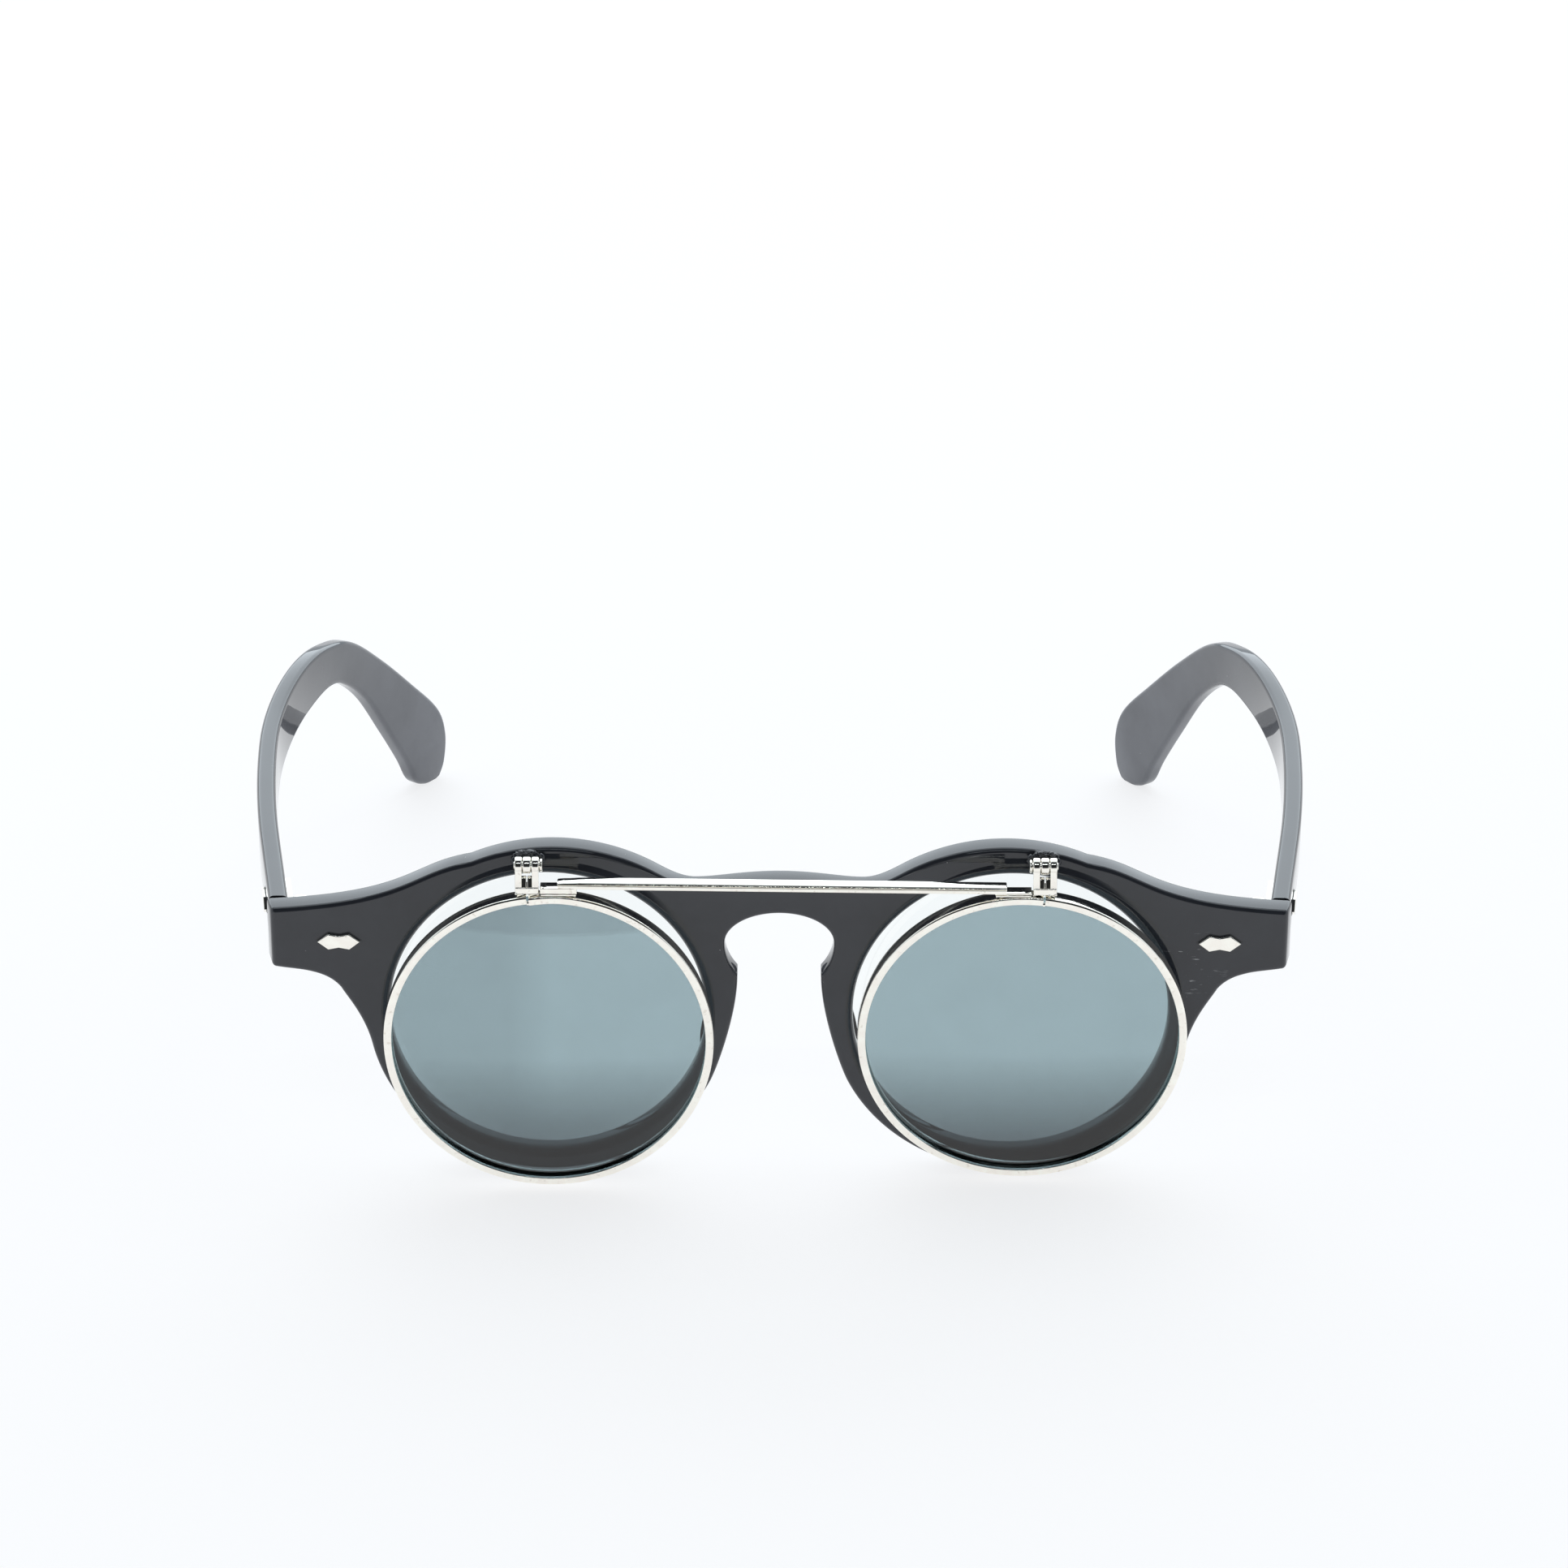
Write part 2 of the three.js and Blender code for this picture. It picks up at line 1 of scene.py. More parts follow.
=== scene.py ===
"""Round flip-up sunglasses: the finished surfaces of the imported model.

Shapes are drawn in millimetres in the design space of the part, where y = 0 is the flat face of
the plastic front and z = 0 is the table. Right is +X, as seen from the front. A mesh is scaled to
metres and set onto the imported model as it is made.
"""

import math

import bmesh
import bpy
from mathutils import Matrix, Vector, noise
from mathutils.geometry import tessellate_polygon


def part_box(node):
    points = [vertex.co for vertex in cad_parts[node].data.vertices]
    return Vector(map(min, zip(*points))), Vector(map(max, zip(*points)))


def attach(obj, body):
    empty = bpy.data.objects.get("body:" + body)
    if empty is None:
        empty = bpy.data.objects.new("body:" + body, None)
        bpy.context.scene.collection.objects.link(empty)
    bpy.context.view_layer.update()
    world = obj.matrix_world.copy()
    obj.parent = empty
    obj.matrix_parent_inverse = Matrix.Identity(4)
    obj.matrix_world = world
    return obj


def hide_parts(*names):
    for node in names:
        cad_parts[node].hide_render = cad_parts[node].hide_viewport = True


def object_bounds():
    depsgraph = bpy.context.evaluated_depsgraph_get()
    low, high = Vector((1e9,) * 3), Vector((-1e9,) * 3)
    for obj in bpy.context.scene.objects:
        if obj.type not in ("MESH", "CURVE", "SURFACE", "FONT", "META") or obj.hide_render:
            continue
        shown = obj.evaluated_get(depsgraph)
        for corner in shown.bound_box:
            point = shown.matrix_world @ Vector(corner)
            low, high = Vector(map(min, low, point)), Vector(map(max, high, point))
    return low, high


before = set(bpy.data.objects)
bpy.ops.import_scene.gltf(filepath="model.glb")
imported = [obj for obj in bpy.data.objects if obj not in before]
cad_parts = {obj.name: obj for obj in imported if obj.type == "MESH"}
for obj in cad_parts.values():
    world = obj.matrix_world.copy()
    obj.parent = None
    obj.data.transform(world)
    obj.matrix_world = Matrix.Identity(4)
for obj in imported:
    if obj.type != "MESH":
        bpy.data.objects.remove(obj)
cad_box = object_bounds()

# ---- Dimensions, in millimetres and degrees -------------------------------------------------

MM = 0.001

FRONT_THICKNESS = 3.8
FRONT_HALF_WIDTH = 70.6
FLARE_FROM, END_FLARE = 64, 0.9  # an end is this much narrower at the front face than at the back
OUTER_BEVEL = 0.65
OPENING_BEVEL = 1.25
OPENING_X, OPENING_Z, OPENING_RADIUS = 32, 24.9, 21.8
RIM_WALL = 3.1
BRIDGE_TOP, BRIDGE_DIP, BRIDGE_DIP_X = 45.8, 44.9, 11.5
ARCH_X, ARCH_Z, ARCH_RADIUS, ARCH_FROM, ARCH_TO = 31, 23.5, 27.4, 120, 66
END_TOP, END_BOTTOM, END_CORNER = 41.35, 32.2, 0.7
KEYHOLE_Z, KEYHOLE_HALF_WIDTH, KEYHOLE_TOP_HEIGHT, KEYHOLE_NECK_ANGLE = 36, 7.5, 4.7, 40

CLEAR_LENS_RADIUS, CLEAR_LENS_EDGE, LENS_SAG = 22.3, 1.4, 1.0
NOSE_PAD = Vector((9.1, FRONT_THICKNESS, 22.5))
NOSE_PAD_SIZE = (1.4, 3.4, 5.6)
NOSE_PAD_TURN = -14

RIVET_X, RIVET_Z, RIVET_PROUD = 60.5, 36.5, 0.5
RIVET_LENGTH, RIVET_HEIGHT, RIVET_WAIST = 5.9, 2.4, 1.8

TEMPLE_X, TEMPLE_Y, TEMPLE_THICKNESS, TEMPLE_CORNER = 67.6, 4.1, 2.7, 0.75
TEMPLE_SPLAY = 8
TEMPLE_PLAN = [(20, 0), (33, -6.1), (75, -41.2)]  # stretches: length, turn
TEMPLE_TOP = [
    (-1, 41.35), (30, 40.2), (60, 39), (80, 38.2), (91, 36.1), (98.5, 33),
    (107, 26.3), (115, 18.7), (121.1, 12.2), (122.9, 7.4), (122.5, 2.8), (121.3, 0.6),
]
TEMPLE_LOW = [
    (-1, 33.2), (30, 31.9), (60, 30.5), (79, 30.2), (89.5, 29.6), (95.6, 27),
    (102, 21.4), (108.2, 12.8), (112.6, 6), (114.9, 1.7), (117.1, 0.2), (119.2, 0),
]
TEMPLE_RIVET_AT = 8.2

FLIP_SHIFT = 0.9  # the flip-up unit and its hinges sit this far right of the middle
FLIP_AXIS = Vector((35.2, -3.0, 49.9))
FLIP_LEAN = 1.5
RIM_LEAN = {"left": -2, "right": 1.3}  # more than the unit's, about the top of each rim
KNUCKLE_RADIUS, CENTRE_KNUCKLE, OUTER_KNUCKLE, KNUCKLE_GAP = 1.15, 1.1, 1.0, 0.1
ARM_START = CENTRE_KNUCKLE / 2 + KNUCKLE_GAP
ARM_END = ARM_START + OUTER_KNUCKLE
ARM_SLOPE, ARM_SLOPE_FROM = 0.42, -1.2  # an arm slopes forward below this height
RIM_CENTRE = Vector((32.6, -1.15, -26.3))  # from the flip axis
RIM_OUTER, RIM_INNER, RIM_DEPTH = 22.7, 21.6, 2.5
FLIP_LENS_RADIUS, FLIP_LENS_EDGE = 22.0, 0.9
BAR_LEFT, BAR_RIGHT, BAR_RISE = -31, 30, 0.6  # it rises a little from right to left
BAR_MIDDLE = (-1.65, -2.55)
# Section of the bar in y and z from the flip axis: a flat top and a flat front, with a rolled
# crease between them.
BAR_SECTION = [
    (-0.7, -2.9), (-0.8, -3.0), (-2.45, -3.0), (-2.57, -2.95), (-2.6, -2.85), (-2.6, -2.5),
    (-2.56, -2.42), (-2.42, -2.38), (-2.4, -2.32), (-2.46, -2.22), (-2.42, -2.1), (-2.3, -2.02),
    (-2.15, -2.0), (-0.95, -2.0), (-0.78, -2.06), (-0.7, -2.2),
]
FOOT_X = (28.4, 33.4)
FOOT_TOP = {"left": -2.42, "right": -2.98}

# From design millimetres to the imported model's metres.
FACE_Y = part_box("front_frame")[1][1] / MM - FRONT_THICKNESS
TO_ROW = Matrix.Scale(MM, 4) @ Matrix.Translation((0, FACE_Y, 0))
FLIP_HINGES = TO_ROW @ Matrix.Translation((FLIP_SHIFT, 0, 0))
FLIP_UNIT = (
    FLIP_HINGES
    @ Matrix.Translation((0, FLIP_AXIS.y, FLIP_AXIS.z))
    @ Matrix.Rotation(math.radians(FLIP_LEAN), 4, "X")
)
MIRROR = Matrix.Scale(-1, 4, (1, 0, 0))
SIDES = (("left", MIRROR), ("right", Matrix.Identity(4)))


def hung_rim(side):
    """The flip-up unit's space, turned about the top of one rim by that rim's own lean."""
    top = Matrix.Translation((0, RIM_CENTRE.y, RIM_CENTRE.z + RIM_OUTER))
    return FLIP_UNIT @ top @ Matrix.Rotation(math.radians(RIM_LEAN[side]), 4, "X") @ top.inverted()


# ---- Materials ------------------------------------------------------------------------------


class Nodes:
    """A node material under construction, with short ways to add what all of these need."""

    def __init__(self, name):
        self.material = bpy.data.materials.new(name)
        self.material.use_nodes = True
        self.tree = self.material.node_tree
        self.tree.nodes.clear()
        self.output = self.add("ShaderNodeOutputMaterial")
        self.place = self.add("ShaderNodeTexCoord").outputs["Object"]

    def add(self, kind, **values):
        node = self.tree.nodes.new(kind)
        for name, value in values.items():
            setattr(node, name, value)
        return node

    def link(self, source, target):
        self.tree.links.new(source, target)

    def mapped(self, scale):
        node = self.add("ShaderNodeMapping")
        node.inputs["Scale"].default_value = scale
        self.link(self.place, node.inputs["Vector"])
        return node.outputs["Vector"]

    def noise(self, size, detail=3, stretch=(1, 1, 1)):
        """Noise with features of about size millimetres, stretched along an axis."""
        node = self.add("ShaderNodeTexNoise")
        node.inputs["Scale"].default_value = 1 / (size * MM)
        node.inputs["Detail"].default_value = detail
        self.link(self.mapped([1 / s for s in stretch]), node.inputs["Vector"])
        return node.outputs["Fac"]

    def specks(self, spacing, radius):
        """1 inside round specks, 0 between them, all in millimetres."""
        node = self.add("ShaderNodeTexVoronoi")
        node.inputs["Scale"].default_value = 1 / (spacing * MM)
        self.link(self.place, node.inputs["Vector"])
        return self.ramp(node.outputs["Distance"], radius / spacing, 0.6 * radius / spacing)

    def along(self, axis):
        """How far along X, Y or Z a point is."""
        node = self.add("ShaderNodeSeparateXYZ")
        self.link(self.place, node.inputs["Vector"])
        return node.outputs[axis]

    def near(self, place, inner, outer):
        """1 within inner millimetres of a place, 0 beyond outer."""
        node = self.add("ShaderNodeVectorMath", operation="DISTANCE")
        node.inputs[1].default_value = Vector(place) * MM
        self.link(self.place, node.inputs[0])
        return self.ramp(node.outputs["Value"], outer * MM, inner * MM)

    def ramp(self, value, start, end, low=0.0, high=1.0):
        """low at start, high at end, and a straight blend between."""
        node = self.add("ShaderNodeMapRange")
        limits = {"From Min": start, "From Max": end, "To Min": low, "To Max": high}
        for name, limit in limits.items():
            node.inputs[name].default_value = limit
        self.link(value, node.inputs["Value"])
        return node.outputs["Result"]

    def combine(self, operation, a, b):
        node = self.add("ShaderNodeMath", operation=operation)
        self.link(a, node.inputs[0])
        self.link(b, node.inputs[1])
        return node.outputs["Value"]

    def times(self, a, b):
        return self.combine("MULTIPLY", a, b)

    def larger(self, a, b):
        return self.combine("MAXIMUM", a, b)

    def blend(self, share, first, second):
        """A colour, from first at share 0 to second at share 1; each is a colour or a socket."""
        node = self.add("ShaderNodeMix", data_type="RGBA")
        self.link(share, node.inputs[0])
        for socket, colour in zip(node.inputs[6:8], (first, second)):
            if isinstance(colour, tuple):
                socket.default_value = (*colour, 1)
            else:
                self.link(colour, socket)
        return node.outputs[2]

    def bump(self, height, depth, strength=1.0):
        node = self.add("ShaderNodeBump")
        node.inputs["Distance"].default_value = depth * MM
        node.inputs["Strength"].default_value = strength
        self.link(height, node.inputs["Height"])
        return node.outputs["Normal"]

    def principled(self, **values):
        node = self.add("ShaderNodeBsdfPrincipled")
        for name, value in values.items():
            node.inputs[name.replace("_", " ")].default_value = value
        self.link(node.outputs["BSDF"], self.output.inputs["Surface"])
        return node


def black_plastic(name, haze=0.0, sheen_and_bloom=None, handled=None):
    """Polished black plastic with a faint wave, hairline scuffs and dust; haze dulls it.

    Given a stretch of y in millimetres, the plastic turns greyer over it, partly with wear and
    partly as a painted sheen, and handled is a place in millimetres with more dust and scratches
    around it.
    """
    m = Nodes(name)
    shader = m.principled(IOR=1.55)
    dust = m.times(m.specks(2.6, 0.09), m.ramp(m.noise(9, 2), 0.5, 0.62))
    scuffs = m.ramp(m.noise(0.35, 4, stretch=(14, 1, 1)), 0.58, 0.74)
    cloud = m.ramp(m.noise(6), 0.35, 0.7)
    body = m.blend(cloud, (0.026, 0.028, 0.035), (0.032, 0.035, 0.043))
    if handled:
        grit = m.times(m.specks(0.9, 0.07), m.ramp(m.noise(2.5), 0.4, 0.6))
        scratches = m.ramp(m.noise(0.5, 5, stretch=(5, 1, 1)), 0.62, 0.68)
        near_grit = m.times(grit, m.near(handled, 3, 8))
        near_scratches = m.times(scratches, m.near(handled, 2, 6))
        patchy = m.times(m.larger(near_grit, near_scratches), m.ramp(m.noise(1.2), 0.35, 0.6))
        body = m.blend(patchy, body, (0.45, 0.46, 0.47))
    # painted sheen with some wear: the temple tips are painted lighter grey in place of their
    # reflection
    if sheen_and_bloom:
        sheen_and_wear_end = m.ramp(m.along("Y"), sheen_and_bloom[0] * MM, sheen_and_bloom[1] * MM, 0, 0.85)
        patchy = m.times(sheen_and_wear_end, m.ramp(m.noise(8), 0.2, 0.6, 0.7, 1))
        body = m.blend(patchy, body, (0.21, 0.22, 0.245))
    m.link(m.blend(dust, body, (0.42, 0.42, 0.43)), shader.inputs["Base Color"])
    rough = m.larger(m.ramp(scuffs, 0, 1, 0.015 + haze, 0.07 + haze), m.ramp(dust, 0, 1, 0, 0.6))
    m.link(rough, shader.inputs["Roughness"])
    m.link(m.bump(m.noise(11, 1), 0.02), shader.inputs["Normal"])
    return m.material


def bright_metal(name, polish, tone):
    """Plated metal: tone is its colour, polish its lowest roughness."""
    m = Nodes(name)
    shader = m.principled(Metallic=1.0)
    patches = m.ramp(m.noise(1.6, 4), 0.42, 0.75)
    tarnish = m.ramp(m.noise(0.7, 5), 0.6, 0.8, 0, 0.4)
    pale = tuple(min(1, 1.08 * c) for c in tone)
    brown = (0.42, 0.33, 0.22)
    m.link(m.blend(tarnish, m.blend(patches, tone, pale), brown), shader.inputs["Base Color"])
    m.link(m.ramp(m.noise(0.5, 4), 0.3, 0.75, polish, polish + 0.1), shader.inputs["Roughness"])
    m.link(m.bump(m.noise(0.45, 3), 0.004), shader.inputs["Normal"])
    return m.material


DARKER_RADIUS = 100


def lens_glass(name, tint, shaded_tint, low, high, darker_near=None):
    """A thin clear shell: light passes each face tinted, and the outer side reflects.

    The tint fades from the darker second tint at height low to tint at height high, in millimetres:
    a painted shade, darker towards the bottom.
    Given a place, it is a little darker again at the far left, and within the radius set above of
    that place.
    """
    m = Nodes(name)
    fresnel = m.add("ShaderNodeFresnel")
    fresnel.inputs["IOR"].default_value = 1.6
    through = m.add("ShaderNodeBsdfTransparent")
    # painted shade: the lens is darker towards the bottom
    painted_shade_fade = m.ramp(m.along("Z"), low * MM, high * MM)
    smudge = m.ramp(m.noise(9, 2), 0.45, 0.7, 1, 0.97)
    tone = m.blend(m.times(painted_shade_fade, smudge), shaded_tint, tint)
    # a little darker again near the given place and at the far left of the lens
    if darker_near:
        upper_edge = m.near(darker_near, DARKER_RADIUS, DARKER_RADIUS + 0.3)
        outer_side = m.ramp(m.along("X"), -31 * MM, -37 * MM)
        for share, strength in ((upper_edge, 0.18), (outer_side, 0.15)):
            tone = m.blend(m.ramp(share, 0, 1, 0, strength), tone, shaded_tint)
    m.link(tone, through.inputs["Color"])
    gloss = m.add("ShaderNodeBsdfGlossy")
    gloss.inputs["Color"].default_value = (1, 1, 1, 1)
    gloss.inputs["Roughness"].default_value = 0
    surface = m.add("ShaderNodeMixShader")
    outside = m.ramp(m.add("ShaderNodeNewGeometry").outputs["Backfacing"], 1, 0)
    m.link(m.times(fresnel.outputs["Fac"], outside), surface.inputs[0])
    m.link(through.outputs["BSDF"], surface.inputs[1])
    m.link(gloss.outputs["BSDF"], surface.inputs[2])
    m.link(surface.outputs["Shader"], m.output.inputs["Surface"])
    return m.material


PLASTIC = black_plastic("black_plastic")
FRONT_PLASTIC = black_plastic("front_plastic", handled=(56, -59, 33))
# the temple tips are painted lighter grey: partly wear, partly a painted sheen
TEMPLE_PLASTIC = black_plastic("temple_plastic", sheen_and_bloom=(15, 62))
MELTED = black_plastic("melted_plastic", haze=0.04)
SEAT = black_plastic("dark_seat", haze=0.4)
PLATED = bright_metal("plated_metal", 0.035, (0.955, 0.92, 0.85))
HINGE_METAL = bright_metal("hinge_metal", 0.2, (0.70, 0.68, 0.63))
# its lower part is painted darker: painted shade
TINTED = lens_glass(
    "tinted_lens", (0.565, 0.650, 0.675), (0.285, 0.325, 0.345), 4, 21,
    darker_near=(-30, -62, 140),
)
CLEAR = lens_glass("clear_lens", (0.985, 0.995, 0.99), (0.98, 0.99, 0.985), 0, 50)

# ---- Curves ---------------------------------------------------------------------------------


def bezier(a, b, c, d, steps=24):
    """Points after a, up to and with d."""
    points = []
    for i in range(1, steps + 1):
        t = i / steps
        weights = ((1 - t) ** 3, 3 * t * (1 - t) ** 2, 3 * t * t * (1 - t), t ** 3)
        points.append(tuple(sum(w * p[k] for w, p in zip(weights, (a, b, c, d))) for k in (0, 1)))
    return points


def arc(x, z, radius, start, end, height=None, step=1.5):
    """Points from angle start to end on a circle, or on an ellipse of its own height."""
    steps = max(2, math.ceil(abs(end - start) / step))
    tall = radius if height is None else height
    angles = [math.radians(start + (end - start) * i / steps) for i in range(steps + 1)]
    return [(x + radius * math.cos(a), z + tall * math.sin(a)) for a in angles]


def spline(points, steps):
    """A uniform Catmull-Rom curve through the points, with steps stretches between each two."""
    last = len(points) - 1
    curve = []
    for i in range(last * steps + 1):
        span = min(i // steps, last - 1)
        t = i / steps - span
        p = [Vector(points[max(0, min(last, span + k))]) for k in (-1, 0, 1, 2)]
        m0, m1 = (p[2] - p[0]) / 2, (p[3] - p[1]) / 2
        cubic = (2 * t ** 3 - 3 * t * t + 1) * p[1] + (t ** 3 - 2 * t * t + t) * m0
        curve.append(cubic + (3 * t * t - 2 * t ** 3) * p[2] + (t ** 3 - t * t) * m1)
    return curve


def inset(outline, distance):
    """A closed outline moved to its left, which is into the material."""
    moved = []
    count = len(outline)
    for i, point in enumerate(outline):
        here = Vector(point)
        before = (here - Vector(outline[i - 1])).normalized()
        after = (Vector(outline[(i + 1) % count]) - here).normalized()
        left = [Vector((-d.y, d.x)) for d in (before, after)]
        mitre = (left[0] + left[1]) / max(0.3, 1 + left[0].dot(left[1]))
        moved.append(here + distance * mitre)
    return moved


# ---- Mesh tools -----------------------------------------------------------------------------


def bridge(bm, first, second):
    """A closed band of faces between two rings of vertices."""
    for i in range(len(first)):
        bm.faces.new((first[i - 1], first[i], second[i], second[i - 1]))


def add_plate(bm, outlines, y0, y1, bevels):
    """Outlines in x and z, the first round the outside and the rest round holes, as a plate."""
    caps = [[], []]
    steps = 5
    quarter = [math.pi / 2 * i / steps for i in range(steps + 1)]
    for outline, bevel in zip(outlines, bevels):
        margin = bevel + 0.06  # a narrow ring keeps the flat faces flat beside the bevel
        profile = [(margin, y0)]
        profile += [(bevel * (1 - math.sin(a)), y0 + bevel * (1 - math.cos(a))) for a in quarter]
        profile += [(bevel * (1 - math.cos(a)), y1 - bevel * (1 - math.sin(a))) for a in quarter]
        profile.append((margin, y1))
        rings = [
            [bm.verts.new((p.x, y, p.y)) for p in inset(outline, depth)] for depth, y in profile
        ]
        for first, second in zip(rings, rings[1:]):
            bridge(bm, first, second)
        caps[0].append(rings[0])
        caps[1].append(rings[-1])
    for rings in caps:
        corners = [vert for ring in rings for vert in ring]
        flat = [[Vector((v.co.x, v.co.z, 0)) for v in ring] for ring in rings]
        for triangle in tessellate_polygon(flat):
            bm.faces.new([corners[i] for i in triangle])


def add_turned(bm, profile, centre, axis="Y", segments=96):
    """A profile of (radius, height) turned round an axis; radius 0 closes an end."""
    turn = {"X": Matrix.Rotation(math.pi / 2, 3, "Y"), "Y": Matrix.Rotation(-math.pi / 2, 3, "X")}
    place = turn.get(axis, Matrix.Identity(3))
    rings = []
    for radius, height in profile:
        if radius == 0:
            rings.append([bm.verts.new(Vector(centre) + place @ Vector((0, 0, height)))])
            continue
        angles = [2 * math.pi * i / segments for i in range(segments)]
        spots = [Vector((radius * math.cos(a), radius * math.sin(a), height)) for a in angles]
        rings.append([bm.verts.new(Vector(centre) + place @ spot) for spot in spots])
    for first, second in zip(rings, rings[1:]):
        if len(first) == 1 or len(second) == 1:
            tip, ring = (first[0], second) if len(first) == 1 else (second[0], first)
            for i in range(len(ring)):
                bm.faces.new((tip, ring[i - 1], ring[i]))
        else:
            bridge(bm, first, second)


def rounded_rod(radius, length, rounding):
    """The profile of a rod with rounded ends, for add_turned."""
    steps = 4
    corner = [math.pi / 2 * i / steps for i in range(steps + 1)]
    half = length / 2
    start = [
        (radius - rounding * (1 - math.sin(a)), -half + rounding * (1 - math.cos(a)))
        for a in corner
    ]
    end = [(r, -h) for r, h in reversed(start)]
    return [(0, -half), *start, *end, (0, half)]


def add_box(bm, x, y, z, bevel=0.12, segments=3):
    """A box between pairs of coordinates, with rounded edges."""
    size = [max(pair) - min(pair) for pair in (x, y, z)]
    centre = [sum(pair) / 2 for pair in (x, y, z)]
    place = Matrix.Translation(centre) @ Matrix.Diagonal((*size, 1))
    made = bmesh.ops.create_cube(bm, size=1, matrix=place)
    edges = list({edge for vert in made["verts"] for edge in vert.link_edges})
    bmesh.ops.bevel(
        bm, geom=edges, offset=bevel, segments=segments, profile=0.6, affect="EDGES",
        clamp_overlap=True,
    )


def add_bead(bm, centre, size, rough=0.0, detail=3):
    """A blob, such as a drop of solder, with a surface uneven by about rough millimetres."""
    made = bmesh.ops.create_icosphere(bm, subdivisions=detail, radius=1)
    for vert in made["verts"]:
        spot = Vector(c * s for c, s in zip(vert.co, size)) + Vector(centre)
        wobble = rough * noise.noise(spot * 1.7) + 0.5 * rough * noise.noise(spot * 4.1)
        vert.co = spot + vert.co * wobble


def to_piece(name, bm, place, material, body, replaced=(), sharp=40):
    """Turns a mesh under construction into a finished piece of the scene."""
    bmesh.ops.transform(bm, matrix=place, verts=bm.verts)
    bmesh.ops.recalc_face_normals(bm, faces=bm.faces)
    mesh = bpy.data.meshes.new(name)
    bm.to_mesh(mesh)
    bm.free()
    mesh.materials.append(material)
    mesh.shade_smooth()
    mesh.set_sharp_from_angle(angle=math.radians(sharp))
    piece = bpy.data.objects.new(name, mesh)
    bpy.context.scene.collection.objects.link(piece)
    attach(piece, body)
    if replaced:
        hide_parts(*replaced)
    return piece


# ---- Plastic front --------------------------------------------------------------------------


def half_front_outline():
    """The right half, clockwise from the middle of the bridge's top to the keyhole's top."""
    arch = arc(ARCH_X, ARCH_Z, ARCH_RADIUS, ARCH_FROM, ARCH_TO)
    points = [(0, BRIDGE_TOP)]
    points += bezier(points[-1], (5, BRIDGE_TOP), (8.5, BRIDGE_DIP), (BRIDGE_DIP_X, BRIDGE_DIP))
    points += bezier(points[-1], (13.5, BRIDGE_DIP), (15.3, 46.05), arch[0])
    points += arch[1:]
    corner_x = FRONT_HALF_WIDTH - END_CORNER
    points += bezier(points[-1], (50.8, 46.9), (50.3, 42.35), (corner_x, END_TOP))
    points += arc(corner_x, END_TOP - END_CORNER, END_CORNER, 90, 0, step=15)[1:]
    points += arc(corner_x, END_BOTTOM + END_CORNER, END_CORNER, 0, -90, step=15)
    points += bezier(points[-1], (66.3, 31.6), (62.7, 31.9), (60.5, 29))
    cheek = arc(OPENING_X, OPENING_Z, OPENING_RADIUS + RIM_WALL, -11, -155)
    points += bezier(points[-1], (59.6, 27.3), (57.4, 24.5), cheek[0])
    points += cheek[1:]
    keyhole = arc(0, KEYHOLE_Z, KEYHOLE_HALF_WIDTH, -KEYHOLE_NECK_ANGLE, 0)
    neck_x, neck_z = keyhole[0]
    points += bezier(points[-1], (8.4, 16.7), (neck_x, 25), (neck_x, neck_z - 0.4))
    points += keyhole
    return points + arc(0, KEYHOLE_Z, KEYHOLE_HALF_WIDTH, 0, 90, height=KEYHOLE_TOP_HEIGHT)[1:]


def front():
    half = half_front_outline()
    outline = half + [(-x, z) for x, z in reversed(half[1:-1])]
    outlines = [outline[::-1]]
    for side in (-1, 1):
        outlines.append(arc(side * OPENING_X, OPENING_Z, OPENING_RADIUS, 360, 0)[1:])
    bm = bmesh.new()
    bevels = (OUTER_BEVEL, OPENING_BEVEL, OPENING_BEVEL)
    add_plate(bm, outlines, 0, FRONT_THICKNESS, bevels)
    for vert in bm.verts:
        outward = max(0, (abs(vert.co.x) - FLARE_FROM) / (FRONT_HALF_WIDTH - FLARE_FROM))
        slant = END_FLARE * outward * (1 - vert.co.y / FRONT_THICKNESS)
        vert.co.x -= math.copysign(slant, vert.co.x)
    to_piece("front", bm, TO_ROW, FRONT_PLASTIC, "front", ["front_frame"])


def melt():
    """The plastic that rose round each flip hinge as its root was pressed in hot."""
    for side, flip in SIDES:
        bm = bmesh.new()
        add_bead(bm, (FLIP_AXIS.x, -0.1, FLIP_AXIS.z - 0.75), (2.3, 0.85, 1.55), 0.3, 5)
        lumps = ((-1.9, 0.1, 0.45), (1.8, -0.5, 0.5), (0.9, 0.55, 0.4), (-0.6, 0.6, 0.35))
        for x, z, size in lumps:
            add_bead(bm, (FLIP_AXIS.x + x, -0.55, FLIP_AXIS.z + z), (size, size, size), 0.15)
        to_piece(
            f"hinge_melt_{side}", bm, FLIP_HINGES @ flip, MELTED, "front", sharp=80
        )


def nose_pads():
    for side, flip in SIDES:
        bm = bmesh.new()
        bmesh.ops.create_uvsphere(bm, u_segments=48, v_segments=32, radius=1)
        turn = Matrix.Rotation(math.radians(NOSE_PAD_TURN), 4, "Y")
        shape = Matrix.Translation(NOSE_PAD) @ turn @ Matrix.Diagonal((*NOSE_PAD_SIZE, 1))
        bmesh.ops.transform(bm, matrix=shape, verts=bm.verts)
        everything = bm.verts[:] + bm.edges[:] + bm.faces[:]
        cut = NOSE_PAD + Vector((0, -0.1, 0))
        bmesh.ops.bisect_plane(
            bm, geom=everything, plane_co=cut, plane_no=(0, -1, 0), clear_outer=True
        )
        to_piece(
            f"nose_pad_soft_{side}", bm, TO_ROW @ flip, PLASTIC, "front",
            [f"nose_pad_{side}"],
        )


# ---- Lenses ---------------------------------------------------------------------------------


